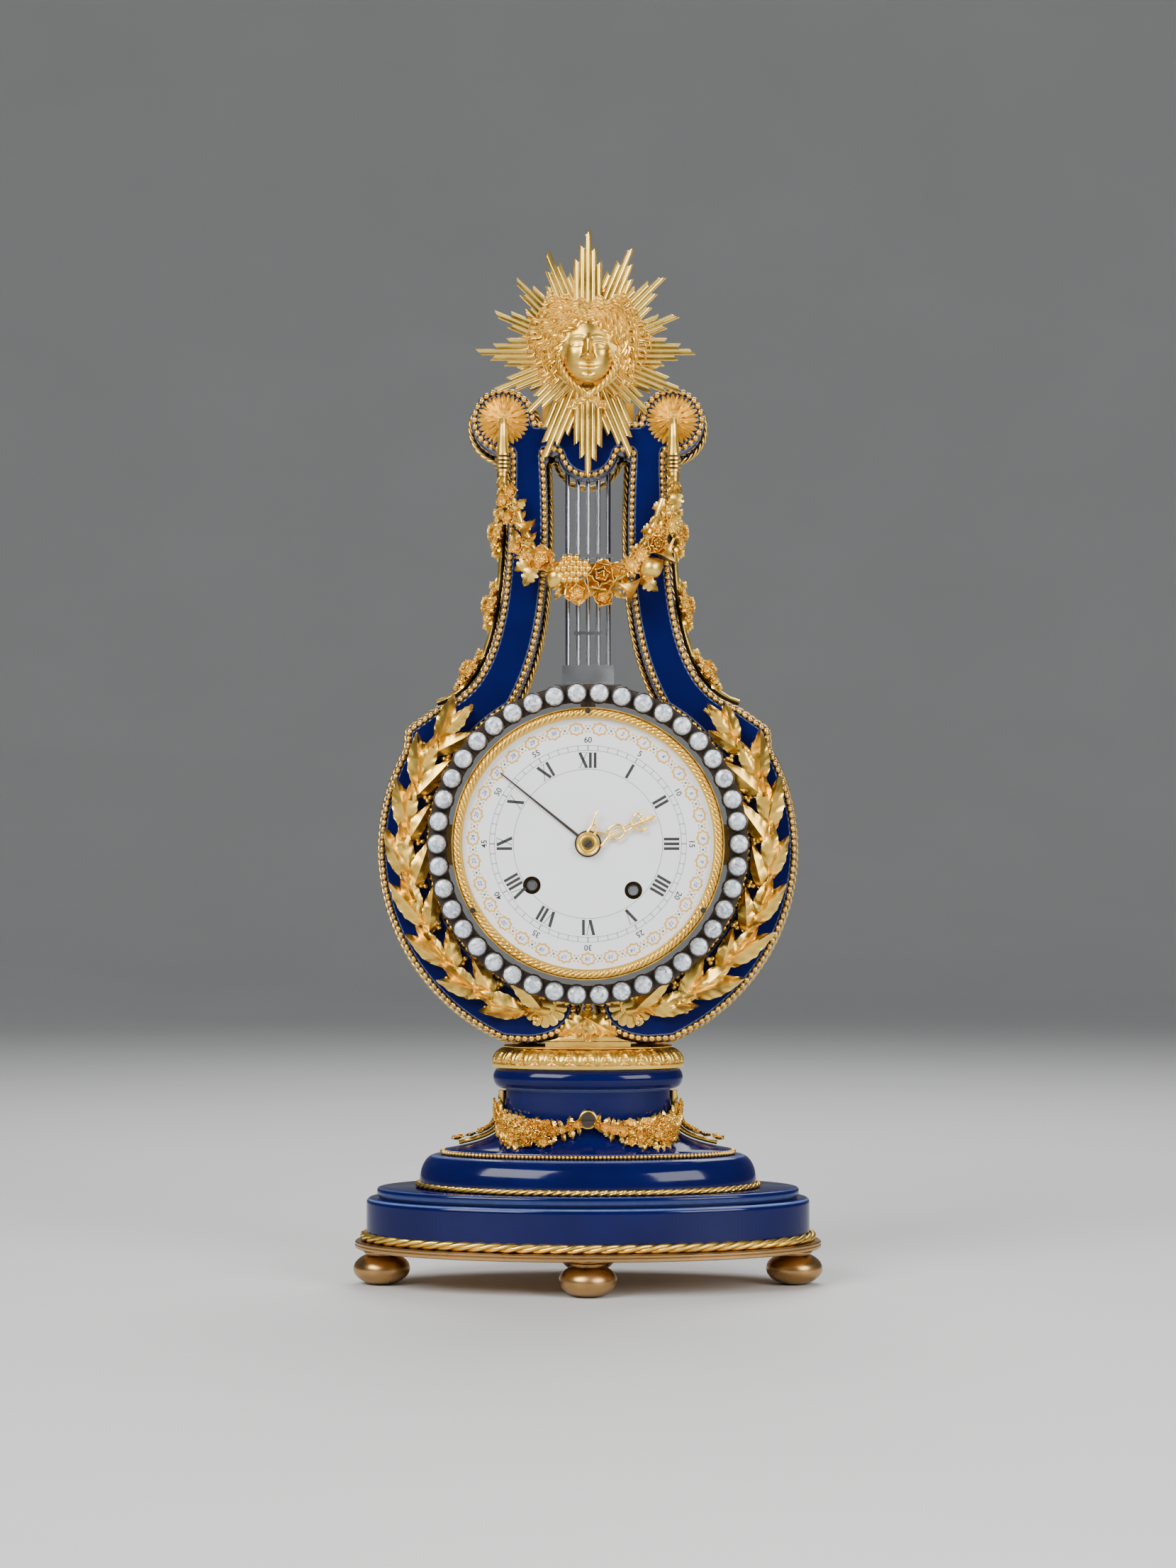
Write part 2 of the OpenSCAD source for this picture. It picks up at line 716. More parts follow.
// Channel in the back of the top bar that the pendulum hangs in
channel_a = rod_pitch * (rod_count - 1) / 2 + rod_r + 3.6;
channel_y = rod_y - 6.5;
module channel() {
    block([-channel_a, channel_y, opening_top_z - tongue_drop - 6], [channel_a, back_y + 6, top_z + 6]);
}

bracket_screw_r = 1.5;
bracket_screw_x = opening_r + 7;
bracket_screw_z = bracket_a - 4;
bracket_screw_depth = 10;
module at_bracket_screws() {
    for (x = [-1, 1]) for (z = [-1, 1])
        at_dial([x * bracket_screw_x, z * bracket_screw_z])
        children();
}

module lyre_body() {
    color(cobalt)
    difference() {
        slab(face_y, back_y)
        polygon(outline);
        channel();
        at_bracket_screws()
        bar_y(bracket_screw_r + 0.1, back_y - bracket_screw_depth - 1, back_y + 1);
    }
}

// Room that the borders leave for the foot bar and the leaf collar
module foot_room() {
    block([-foot_bar_a - seat, -lyre_t, lyre_z - rope_d], [foot_bar_a + seat, lyre_t, lobe_z + seat]);
    block([-outer_r, -lyre_t, lyre_z - rope_d], [outer_r, lyre_t, lyre_z + seat]);
}

module front_bead_border() {
    color(gilt)
    difference() {
        slab(bead_face_y, face_y - seat)
        difference() {
            polygon(moved_path(outline, bead_d / 2));
            polygon(moved_path(outline, -bead_d / 2));
        }
        foot_room();
    }
}

module back_rope_border() {
    color(gilt)
    difference() {
        slab(back_y - rope_depth, back_y)
        difference() {
            polygon(moved_path(outline, rope_d));
            polygon(moved_path(outline, seat / 2));
        }
        channel();
        foot_room();
    }
}

module petals(r, share) {
    polygon([for (i = [0:rosette_petals * 8 - 1]) let (t = 360 * i / (rosette_petals * 8))
        r * (1 - share + share * abs(cos(t * rosette_petals / 2))) * [cos(t), sin(t)]]);
}

module ear_rosettes() {
    low_h = rosette_h * 0.4;
    high_h = rosette_h * 0.35;
    color(gilt)
    both_sides()
    translate([ear_x, face_y - seat, ear_z]) {
        slab(-low_h, 0)
        petals(rosette_r, 0.14);
        slab(-low_h - high_h, -low_h + overlap)
        petals(rosette_r * 0.72, 0.2);
        bar_y(rosette_r * 0.26, -rosette_h, -low_h);
    }
}

// Ornament
swag_y = bead_face_y - overlap - swag_d / 2;
function swag_share(t) = abs(t) > 66 ? 0 : 1;
module front_swag() {
    steps = 48;
    turns = [for (i = [0:steps]) -84 + 168 * i / steps];
    color(gilt)
    tube([for (t = turns) [swag_a * sin(t), swag_y, ear_z - rosette_r - swag_drop * pow(cos(t), 1.25)]],
        [for (i = [0:steps]) let (s = swag_share(turns[i]))
            (strap_d + (swag_d - strap_d) * s) / 2 * (s == 0 ? 1 : 0.88 + 0.12 * cos(i * 120))], 8, [0, 1, 0]);
}

// Chain of four clusters down the outer side of each arm
drop_stem_r = 1.6;
drop_places = [0.22, 0.5, 0.72, 0.9];
function drop_r(s) = drop_stem_r
    + (drop_d / 2 - drop_stem_r) * max([for (c = drop_places) exp(-pow((s - c) / 0.055, 2))]);
module side_drops() {
    steps = 40;
    curve = backwards(bezier(arm_out_curve, steps));
    sides = [for (i = [2:steps - 3]) let (s = i / steps, out = -right_of(curve[i + 1] - curve[i - 1]))
        curve[i] + out * (drop_r(s) + overlap)];
    color(gilt)
    both_sides()
    tube([for (p = sides) [p[0], 0, p[1]]], [for (i = [2:steps - 3]) drop_r(i / steps)], 8, [0, 1, 0]);
}

laurel_y = face_y - overlap - laurel_stem_r;
laurel_leaf_y = bead_face_y - seat;
module leaf_outline() {
    polygon(concat(
        bezier([[0, -0.6], [leaf_l * 0.3, -leaf_w * 0.7], [leaf_l * 0.7, -leaf_w * 0.6], [leaf_l, 0]], 6),
        bezier([[leaf_l * 0.99, 0.4], [leaf_l * 0.7, leaf_w * 0.6], [leaf_l * 0.3, leaf_w * 0.7], [0, 0.6]],
            6)));
}

module laurel_branches() {
    start = -76;
    end = 52;
    color(gilt)
    both_sides() {
        tube([for (t = [start:6.4:end])
            [laurel_sweep_r * cos(t), laurel_y, dial_z - 2 + laurel_sweep_r * sin(t)]],
            [for (t = [start:6.4:end]) laurel_stem_r], 6, [0, 1, 0]);
        for (i = [0:laurel_groups - 1])
            for (k = [0:2])
                laurel_leaf(start + 2 + (end - start) * i / laurel_groups, i, k);
    }
}

// Leaf k of group i, in a layer of its own over the stem
module laurel_leaf(t, i, k) {
    layer = (i % 2) * 0.9 + k * 0.33;
    spread = [-34, 34, 2][k];
    at_dial([laurel_sweep_r * cos(t), laurel_sweep_r * sin(t) - 2])
    slab(laurel_leaf_y - layer - leaf_t, laurel_leaf_y - layer)
    rotate(t + 90 + spread)
    leaf_outline();
}

finial_top_z = lobe_z + finial_leaf_h;
module finial() {
    foot_a = lobe_gap + 7;
    color(gilt) {
        slab(finial_front_y - 0.8, finial_front_y + 3)
        polygon([[-foot_a, lobe_z], [foot_a, lobe_z], [foot_a * 0.72, lobe_z + finial_leaf_h * 0.3],
            [foot_a * 0.3, lobe_z + finial_leaf_h * 0.62], [acorn_r, finial_top_z], [-acorn_r, finial_top_z],
            [-foot_a * 0.3, lobe_z + finial_leaf_h * 0.62], [-foot_a * 0.72, lobe_z + finial_leaf_h * 0.3]]);
        translate([0, finial_front_y + 1, finial_top_z - overlap])
        rotate_extrude()
        polygon([[0, 0], [acorn_r * 0.8, 0], [acorn_r, acorn_r], [acorn_r * 0.8, acorn_r * 2.1],
            [0, acorn_r * 2.8]]);
    }
}

// Sun
bridge_z = pivot_z - 4;
bridge_front_y = rod_y - bridge_front;
bridge_back_y = min(rod_y + bridge_back, back_y - rope_depth - overlap);
cradle_y = 3.4;
cradle_a = 6;
head_a = 8;
module suspension_bracket() {
    bridge_a = ear_x - ear_r - rope_d;
    color(gilt)
    difference() {
        union() {
            block([-bridge_a, bridge_front_y, top_z + seat], [bridge_a, bridge_back_y, bridge_z]);
            block([-cradle_a, bridge_front_y, bridge_z - overlap], [cradle_a, bridge_back_y, pivot_z + 2]);
        }
        block([-head_a - 1.5, rod_y - cradle_y, top_z - 1], [head_a + 1.5, rod_y + cradle_y, pivot_z + 3]);
        translate([0, bridge_front_y - 1, pivot_z - 0.05])
        rotate([-90, 0, 0])
        linear_extrude(bridge_back_y - bridge_front_y + 2)
        polygon([[0, 0], [4.5, -3], [-4.5, -3]]);
    }
}

sun_stem_r = 6;
module sun_bracket() {
    stem_a = 7;
    color(gilt) {
        block([-stem_a, bridge_front_y - sun_bracket_t, top_z + seat],
            [stem_a, bridge_front_y, sun_z + stem_a]);
        translate([0, 0, sun_z])
        bar_y(sun_stem_r, ray_back_y, bridge_front_y - sun_bracket_t + overlap);
    }
}

// Lengths of the ray clusters as shares of the longest, clockwise from the top
ray_shares = [1, 0.93, 0.88, 0.8, 0.88, 0.84, 0.7, 0.93, 1.01, 0.95, 0.71, 0.82, 0.92, 0.83, 0.84, 0.89];
module ray_outline(l) {
    w = ray_w / 5;
    in_r = 20;
    polygon([[-2.5 * w, in_r], [2.5 * w, in_r], [2.5 * w, l * 0.66], [1.5 * w, l * 0.7], [1.5 * w, l * 0.82],
        [0.5 * w, l * 0.86], [0.5 * w, l - w], [0, l], [-0.5 * w, l - w * 0.4], [-0.5 * w, l * 0.86],
        [-1.5 * w, l * 0.82], [-1.5 * w, l * 0.7], [-2.5 * w, l * 0.66]]);
}

module sun_rays() {
    disc_r = 30;
    color(gilt)
    translate([0, ray_back_y, sun_z]) {
        bar_y(disc_r, -ray_t * 0.8, 0);
        for (i = [0:ray_count - 1])
            rotate([0, 360 * i / ray_count, 0])
            slab(-ray_t - (i % 2) * 0.6, -0.2 - (i % 2) * 0.6)
            ray_outline(sun_r * ray_shares[i % len(ray_shares)]);
    }
}

// Relief of the mask: a wavy mass of hair round a plain oval face
mask_y = ray_back_y - ray_t - 0.7;
face_a = mask_a * 0.42;
face_b = mask_b * 0.68;
function hair_edge(t) = 1 + 0.06 * cos(9 * t + 90) + 0.03 * cos(17 * t);
function face_lift(x, z) = let (q = pow(x / face_a, 2) + pow((z + mask_b * 0.12) / face_b, 2))
    q < 1 ? sqrt(1 - q) : 0;
function nose_lift(x, z) =
    let (q = pow(x / (face_a * 0.24), 2) + pow((z + mask_b * 0.18) / (face_b * 0.3), 2))
    max(0, 1 - q);
function mask_depth(p, x, z) =
    mask_d * (0.5 * sqrt(1 - pow(p, 3)) + 0.38 * face_lift(x, z) + 0.12 * nose_lift(x, z));
module sun_mask() {
    rings = 10;
    spokes = 48;
    color(gilt)
    translate([0, mask_y, sun_z])
    skin([for (j = [0:rings]) let (p = j == 0 ? 0.96 : 1 - (j - 1) / rings)
        [for (i = [0:spokes - 1]) let (t = 360 * i / spokes, x = mask_a * p * hair_edge(t) * cos(t),
            z = mask_b * p * hair_edge(t) * sin(t))
            [x, j == 0 ? 0 : -1.5 - mask_depth(p, x, z), z]]]);
}

// Drum, dial and bezel
dial_back_y = -dial_front + dial_t;
flange_back_y = dial_back_y + flange_t;
drum_in_r = drum_r - drum_wall;
flange_r = bezel_r - 0.6;
plate_out_y = -mplate_front - mplate_t;
ledge_in_r = drum_in_r - 5;
crutch_y = rod_y + 3;
crutch_slot_a = 8;
hinge_x = -drum_r - 3.5;
hinge_y = drum_back + 1.2;
hinge_r = 2.8;
knuckle_h = 8;
dial_bead_r = dial_r + bezel_w * 0.66;
dial_screw_r = 0.9;
dial_screw_turns = [90, -30, 210];
module at_bezel_screws() {
    for (t = dial_screw_turns)
        at_dial(dial_bead_r * [cos(t), sin(t)])
        children();
}

module drum() {
    color(brass)
    difference() {
        union() {
            at_dial([0, 0])
            turned([[drum_in_r, drum_back], [drum_r, drum_back], [drum_r, flange_back_y],
                [flange_r, flange_back_y],
                [flange_r, dial_back_y], [ledge_in_r, dial_back_y], [ledge_in_r, plate_out_y],
                [drum_in_r, plate_out_y]]);
            for (z = [knuckle_h / 2 + 0.2, -knuckle_h * 1.5 - 0.2])
                translate([hinge_x, hinge_y, dial_z + z])
                hinge_knuckle();
        }
        translate([hinge_x, hinge_y, dial_z - knuckle_h * 2])
        cylinder(r = hinge_pin_r + run_gap, h = knuckle_h * 4);
        at_dial([0, 0])
        block([-crutch_slot_a, crutch_y - 4, drum_in_r - 8], [crutch_slot_a, crutch_y + 4, drum_r + 5]);
        at_bezel_screws()
        bar_y(dial_screw_r + run_gap, dial_back_y - 1, flange_back_y + 1);
    }
}

// Fixed knuckle of the door's hinge, on a lug from the drum's side
module hinge_knuckle() {
    lug = 3;
    cylinder(r = hinge_r, h = knuckle_h);
    block([0, -hinge_y + drum_back - 9, 0],
        [-hinge_x - drum_in_r - 1, -hinge_y + drum_back - 9 + lug, knuckle_h]);
    block([-hinge_r, -hinge_y + drum_back - 9, 0], [-hinge_r + lug, 0, knuckle_h]);
}

module hinge_pin() {
    color(steel)
    translate([hinge_x, hinge_y, dial_z - knuckle_h * 1.5 - 0.2])
    cylinder(r = hinge_pin_r, h = knuckle_h * 3 + 0.4);
}

door_y = drum_back + 0.3;
module rear_door() {
    knob_r = 3;
    color(gilt)
    difference() {
        union() {
            at_dial([0, 0])
            turned([[0, door_y], [0, door_y + door_t], [drum_r - 3, door_y + door_t],
                [drum_r - 1, door_y + door_t - 0.8],
                [drum_r - 1, door_y]]);
            at_dial([drum_r - 9, 0])
            bar_y(knob_r, door_y + door_t - overlap, door_y + door_t + 5);
            translate([hinge_x, hinge_y, dial_z - knuckle_h / 2])
            cylinder(r = hinge_r, h = knuckle_h);
            block([hinge_x, door_y + 0.2, dial_z - knuckle_h / 2],
                [-drum_r + 3, door_y + door_t - 0.2, dial_z + knuckle_h / 2]);
        }
        translate([hinge_x, hinge_y, dial_z - knuckle_h])
        cylinder(r = hinge_pin_r + run_gap, h = knuckle_h * 2);
    }
}

module drum_brackets() {
    reach = bracket_screw_x + 5;
    color(brass)
    both_sides()
    difference() {
        union() {
            block([drum_r - 2, back_y + seat, dial_z - bracket_a],
                [reach, back_y + seat + bracket_t, dial_z + bracket_a]);
            block([drum_r - 2, back_y - 8, dial_z - bracket_a],
                [drum_r + 4, back_y + seat + bracket_t, dial_z + bracket_a]);
        }
        at_dial([0, 0])
        bar_y(drum_r + seat / 2, back_y - 20, back_y + 20);
        at_bracket_screws()
        bar_y(bracket_screw_r + 0.1, back_y - 1, back_y + bracket_t + 2);
    }
}

module bracket_screws() {
    head_r = 3;
    head_t = 2;
    head_y = back_y + seat + bracket_t;
    color(steel)
    at_bracket_screws()
    union() {
        bar_y(bracket_screw_r, back_y - bracket_screw_depth, head_y + overlap);
        difference() {
            bar_y(head_r, head_y, head_y + head_t);
            block([-head_r, head_y + head_t - 0.8, -0.4], [head_r, head_y + head_t + 1, 0.4]);
        }
    }
}

dial_edge_r = dial_bead_r - dial_screw_r - 0.4;
date_pipe_r = 3.5;
module dial() {
    color(enamel)
    difference() {
        at_dial([0, 0])
        bar_y(dial_edge_r, -dial_front, dial_back_y);
        at_dial([0, 0])
        bar_y(date_pipe_r + pass_gap, -dial_front - 1, dial_back_y + 1);
        for (p = [[strike_x, strike_z], [going_x, going_z]])
            at_dial(p)
            bar_y(wind_hole_r, -dial_front - 1, dial_back_y + 1);
    }
}

bezel_front_y = -dial_front - bezel_d;
module bezel() {
    color(gilt)
    difference() {
        at_dial([0, 0])
        turned([[dial_r, -dial_front - seat], [bezel_r, -dial_front - seat], [bezel_r, bezel_front_y + 3],
            [bezel_r - 0.9, bezel_front_y + 0.9], [bezel_r - 3, bezel_front_y],
            [dial_r + 2, bezel_front_y + 0.6],
            [dial_r + 0.5, bezel_front_y + 2]]);
        at_bezel_screws()
        bar_y(dial_screw_r + run_gap, bezel_front_y - 1, dial_back_y);
    }
}

module bezel_screws() {
    head_r = 1.6;
    head_t = 1;
    color(steel)
    at_bezel_screws()
    union() {
        bar_y(dial_screw_r, bezel_front_y + 0.2, flange_back_y);
        bar_y(head_r, bezel_front_y - head_t, bezel_front_y - 0.05);
        bar_y(dial_screw_r, bezel_front_y - 0.2, bezel_front_y + 0.4);
    }
}

// Movement
going = [going_x, going_z];
strike = [strike_x, strike_z];
escape = [0, escape_rise];
anchor_axis = [0, anchor_rise];
front_in_y = -mplate_front;
back_in_y = front_in_y + mplate_gap;
back_out_y = back_in_y + mplate_t;
end_shake = 0.2;
mid_arbor_r = 1.5;

// Teeth and modules of the trains
great_n = 80;
great_m = 0.55;
leaf10_n = 10;
mid_n = 84;
mid_m = 0.5;
leaf8_n = 8;
third_m = 0.42;
cannon_n = 12;
minute_n = 36;
hour_n = 40;
hour_m = 0.48;
hour_pinion_n = 20;
day_n = 40;
day_m = 0.4;
date_n = 31;

// Centre distance of a meshed pair, and the two points at given distances from two others
function mesh_gap(m, n0, n1) = m * (n0 + n1) / 2;
function meet(p, r, q, s, side) = let (d = norm(q - p), a = (r * r - s * s + d * d) / (2 * d), u = (q - p) / d)
    p + a * u + side * sqrt(r * r - a * a) * [-u[1], u[0]];
function heading(p, q) = atan2(q[1] - p[1], q[0] - p[0]);
// Turn of a wheel of n1 teeth that meshes with one of n0 teeth turned by t0, in the direction given
function mesh_turn(n0, t0, n1, way) = way + 180 + 180 / n1 - (t0 - way) * n0 / n1;

middle = [0, 0];
intermediate = meet(middle, mesh_gap(mid_m, mid_n, leaf10_n), going, mesh_gap(great_m, great_n, leaf10_n), -1);
third = meet(middle, mesh_gap(mid_m, mid_n, leaf8_n), escape, mesh_gap(third_m, mid_n, leaf8_n), -1);
pin_axis = strike + mesh_gap(great_m, great_n, leaf10_n) * [cos(95), sin(95)];
minute_axis = mesh_gap(mid_m, cannon_n, minute_n) * [cos(200), sin(200)];
day_axis = mesh_gap(day_m, hour_pinion_n, day_n) * [cos(340), sin(340)];
hammer_axis = [-42, 30];
bell_axis = [4, -6];

// Depths of the wheels, from the front plate to the back plate and out to the dial
great_y = front_in_y + 1.9;
barrel_y = great_y + wheel_t;
escape_y = front_in_y + 17.5;
mid_y = barrel_y + barrel_d + 3;
centre_y = mid_y + wheel_t + 3.8;
third_y = centre_y + wheel_t + 2.2;
pinion_lip = 0.5;
cannon_y = plate_out_y - 1.2;
hour_y = cannon_y - wheel_t - 0.4;
day_y = hour_y - wheel_t - 0.6;
date_wheel_t = 0.8;
date_wheel_y = day_y - wheel_t - 1.1;
stud_r = 1;

// Hands' places before the dial
hand_gap = 0.6;
date_hand_y = -dial_front - hand_gap;
hour_hand_y = date_hand_y - hand_t - hand_gap;
minute_hand_y = hour_hand_y - hand_t - hand_gap;
cannon_r = 2.1;
hour_pipe_r = 2.8;

module gear(n, m, turn) {
    root = m * (n / 2 - 1.15);
    tip = m * (n / 2 + 0.75);
    polygon([for (i = [0:n - 1]) for (q = [[root, -0.23], [tip, -0.09], [tip, 0.09], [root, 0.23]])
        q[0] * [cos(turn + 360 * (i + q[1]) / n), sin(turn + 360 * (i + q[1]) / n)]]);
}

// Wheel whose front face lies at depth y - t
module wheel(n, m, turn, y, t) {
    slab(y - t, y)
    gear(n, m, turn);
}

module arbor() {
    bar_y(arbor_r, front_in_y + end_shake, back_in_y - end_shake);
    bar_y(pivot_r, plate_out_y, back_out_y);
}

module pivot_holes(r, places) {
    for (p = places)
        at_dial(p)
        bar_y(r + run_gap, plate_out_y - 1, back_out_y + 1);
}

module movement_plates() {
    back_plate_r = drum_in_r - 7;
    color(brass)
    difference() {
        union() {
            at_dial(middle)
            bar_y(drum_in_r - seat, plate_out_y, front_in_y);
            at_dial(middle)
            bar_y(back_plate_r, back_in_y, back_out_y);
            at_dial(minute_axis)
            bar_y(stud_r, hour_y - wheel_t - 0.4, plate_out_y + overlap);
            at_dial(day_axis)
            bar_y(stud_r, day_y - wheel_t - 0.2, plate_out_y + overlap);
        }
        pivot_holes(pivot_r, [intermediate, third, escape, anchor_axis, pin_axis, hammer_axis]);
        pivot_holes(barrel_arbor_r, [going, strike]);
        pivot_holes(mid_arbor_r, [middle]);
    }
}

module pillars() {
    color(brass)
    for (p = drum_in_r * [[0.594, 0.594], [-0.594, 0.594], [0.29, -0.79], [-0.29, -0.79]])
        at_dial(p)
        bar_y(pillar_r, front_in_y, back_in_y);
}

// Barrel with its great wheel, bored for its arbor
module barrel(turn) {
    difference() {
        union() {
            wheel(great_n, great_m, turn, barrel_y, wheel_t);
            bar_y(barrel_r, barrel_y - overlap, barrel_y + barrel_d);
        }
        bar_y(barrel_arbor_r + run_gap, great_y - 1, barrel_y + barrel_d + 1);
    }
}

// Barrel arbor with its winding square behind the dial's hole
module barrel_arbor() {
    half = wind_square / 2;
    bar_y(barrel_arbor_r, plate_out_y - 3, back_out_y);
    block([-half, dial_back_y - 0.8, -half], [half, plate_out_y - 2, half]);
}

module going_barrel() {
    color(brass)
    at_dial(going)
    barrel(mesh_turn(leaf10_n, 0, great_n, heading(intermediate, going)));
}

module going_arbor() {
    color(steel)
    at_dial(going)
    barrel_arbor();
}

module strike_barrel() {
    color(brass)
    at_dial(strike)
    barrel(0);
}

module strike_arbor() {
    color(steel)
    at_dial(strike)
    barrel_arbor();
}

module intermediate_wheel() {
    color(brass)
    at_dial(intermediate) {
        arbor();
        wheel(leaf10_n, great_m, 0, great_y + wheel_t + pinion_lip, wheel_t + 2 * pinion_lip);
        wheel(mid_n, mid_m, mesh_turn(leaf10_n, 0, mid_n, heading(middle, intermediate)),
            mid_y + wheel_t, wheel_t);
    }
}

// Centre wheel on its long arbor, with the cannon pinion and pipe that carry the minute hand
module centre_wheel() {
    color(brass)
    at_dial(middle) {
        bar_y(mid_arbor_r, plate_out_y - 2, back_out_y);
        bar_y(cannon_r, minute_hand_y - hand_t, plate_out_y - end_shake);
        wheel(leaf10_n, mid_m, 0, mid_y + wheel_t + pinion_lip, wheel_t + 2 * pinion_lip);
        wheel(mid_n, mid_m, 0, centre_y + wheel_t, wheel_t);
        wheel(cannon_n, mid_m, 0, cannon_y, wheel_t);
    }
}

module third_wheel() {
    color(brass)
    at_dial(third) {
        arbor();
        wheel(leaf8_n, mid_m, mesh_turn(mid_n, 0, leaf8_n, heading(middle, third)),
            centre_y + wheel_t + pinion_lip,
            wheel_t + 2 * pinion_lip);
        wheel(mid_n, third_m, 0, third_y + wheel_t, wheel_t);
    }
}

module escape_wheel() {
    escape_n = 32;
    color(brass)
    at_dial(escape) {
        arbor();
        wheel(leaf8_n, third_m, mesh_turn(mid_n, 0, leaf8_n, heading(third, escape)),
            third_y + wheel_t + pinion_lip,
            wheel_t + 2 * pinion_lip);
        slab(escape_y, escape_y + wheel_t)
        polygon([for (i = [0:escape_n - 1])
            for (q = [[escape_r - 1.6, 0], [escape_r, 0.25], [escape_r - 1.6, 0.4]])
            q[0] * [cos(360 * (i + q[1]) / escape_n), sin(360 * (i + q[1]) / escape_n)]]);
    }
}

arm_plate_z = dial_z + stone_circle_r;
crutch_pin_z = arm_plate_z - 6;
crutch_l = crutch_pin_z - dial_z - anchor_rise;
// Anchor with its pallets clear of the escape wheel, and the crutch whose fork holds the pendulum's pin
module anchor() {
    half = [[0, 4], [6, 1.5], [11.5, -5], [9.6, -8.2], [8, -6.2], [4.5, -2.2], [0, -1.6]];
    fork_a = crutch_pin_r + pass_gap;
    prong = 2.4;
    crutch_t = 1.5;
    color(steel)
    at_dial(anchor_axis) {
        arbor();
        slab(escape_y, escape_y + wheel_t)
        polygon(concat(half, flipped(part_of(half, 1, 5))));
        slab(crutch_y - crutch_t / 2, crutch_y + crutch_t / 2)
        polygon([[-1.6, -1.6], [1.6, -1.6], [1.6, crutch_l - 6], [fork_a + prong, crutch_l - 4],
            [fork_a + prong, crutch_l + 4], [fork_a, crutch_l + 4], [fork_a, crutch_l - 3],
            [-fork_a, crutch_l - 3],
            [-fork_a, crutch_l + 4], [-fork_a - prong, crutch_l + 4], [-fork_a - prong, crutch_l - 4],
            [-1.6, crutch_l - 6]]);
    }
}

module minute_wheel() {
    color(brass)
    at_dial(minute_axis)
    difference() {
        union() {
            wheel(minute_n, mid_m, mesh_turn(cannon_n, 0, minute_n, heading(middle, minute_axis)),
                cannon_y, wheel_t);
            wheel(leaf10_n, hour_m, 0, cannon_y - wheel_t + overlap, wheel_t + 0.4 + overlap);
        }
        bar_y(stud_r + run_gap, day_y, cannon_y + 1);
    }
}

module hour_wheel() {
    color(brass)
    at_dial(middle)
    difference() {
        union() {
            wheel(hour_n, hour_m, mesh_turn(leaf10_n, 0, hour_n, heading(minute_axis, middle)),
                hour_y, wheel_t);
            wheel(hour_pinion_n, day_m, 0, day_y, wheel_t);
            bar_y(hour_pipe_r, hour_hand_y - hand_t, hour_y - overlap);
        }
        bar_y(cannon_r + run_gap, hour_hand_y - hand_t - 1, hour_y + 1);
    }
}

module day_wheel() {
    pin_r = 0.6;
    pin_out = 5.5;
    color(brass)
    at_dial(day_axis)
    difference() {
        union() {
            wheel(day_n, day_m, mesh_turn(hour_pinion_n, 0, day_n, heading(middle, day_axis)), day_y, wheel_t);
            translate([pin_out * cos(340), 0, pin_out * sin(340)])
            bar_y(pin_r, date_wheel_y - date_wheel_t, day_y - overlap);
        }
        bar_y(stud_r + run_gap, day_y - wheel_t - 1, day_y + 1);
    }
}

module date_wheel() {
    date_r = 11;
    color(brass)
    at_dial(middle)
    difference() {
        union() {
            slab(date_wheel_y - date_wheel_t, date_wheel_y)
            polygon([for (i = [0:date_n - 1]) for (q = [[date_r - 1.4, 0], [date_r, 0.3], [date_r - 1.4, 0.6]])
                q[0] * [cos(360 * (i + q[1]) / date_n), sin(360 * (i + q[1]) / date_n)]]);
            bar_y(date_pipe_r, date_hand_y - hand_t, date_wheel_y);
        }
        bar_y(hour_pipe_r + run_gap, date_hand_y - hand_t - 1, date_wheel_y + 1);
    }
}

pin_circle_r = 9.5;
pin_r = 0.8;
pin_l = 3;
module pin_wheel() {
    pins = 8;
    wheel_r = 12;
    color(brass)
    at_dial(pin_axis) {
        arbor();
        wheel(leaf10_n, great_m, mesh_turn(great_n, 0, leaf10_n, heading(strike, pin_axis)),
            great_y + wheel_t + pinion_lip, wheel_t + 2 * pinion_lip);
        bar_y(wheel_r, mid_y, mid_y + wheel_t);
        for (i = [0:pins - 1])
            translate(pin_circle_r * [cos(360 * i / pins), 0, sin(360 * i / pins)])
            bar_y(pin_r, mid_y + wheel_t - overlap, mid_y + wheel_t + pin_l);
    }
}

bell_y = back_out_y + 4.5;
module bell() {
    post_r = 2.5;
    color(gilt)
    at_dial(bell_axis) {
        turned(concat([for (t = [0:15:90]) [bell_r * cos(t), bell_y + bell_d * sin(t)]],
            [for (t = [90:-15:0]) [(bell_r - bell_wall) * cos(t), bell_y + (bell_d - bell_wall) * sin(t)]]));
        bar_y(post_r, back_out_y, bell_y + bell_d - bell_wall / 2);
    }
}

// Hammer with its arbor, its tail near the lifting pins and its head beside the bell
module hammer() {
    head_r = 2.5;
    head_at = bell_axis + [-bell_r - head_r - pass_gap, 0] - hammer_axis;
    tail_way = unit(pin_axis - hammer_axis);
    tail_l = norm(pin_axis - hammer_axis) - pin_circle_r - pin_r - pass_gap;
    arm_y = back_out_y + 0.8;
    arm_t = 1.6;
    color(steel)
    at_dial(hammer_axis) {
        arbor();
        bar_y(pivot_r, back_out_y - overlap, arm_y + arm_t);
        slab(arm_y, arm_y + arm_t)
        lever(head_at, 2.2);
        translate([head_at[0], 0, head_at[1]])
        bar_y(head_r, arm_y, bell_y + 3);
        slab(mid_y + wheel_t + 0.6, mid_y + wheel_t + pin_l - 0.4)
        lever(tail_l * tail_way, 1.4);
    }
}

// Straight lever of half width w from the origin to a point
module lever(end, w) {
    across = w * right_of(end);
    polygon([across - unit(end) * w, end + across * 0.7, end - across * 0.7, -across - unit(end) * w]);
}

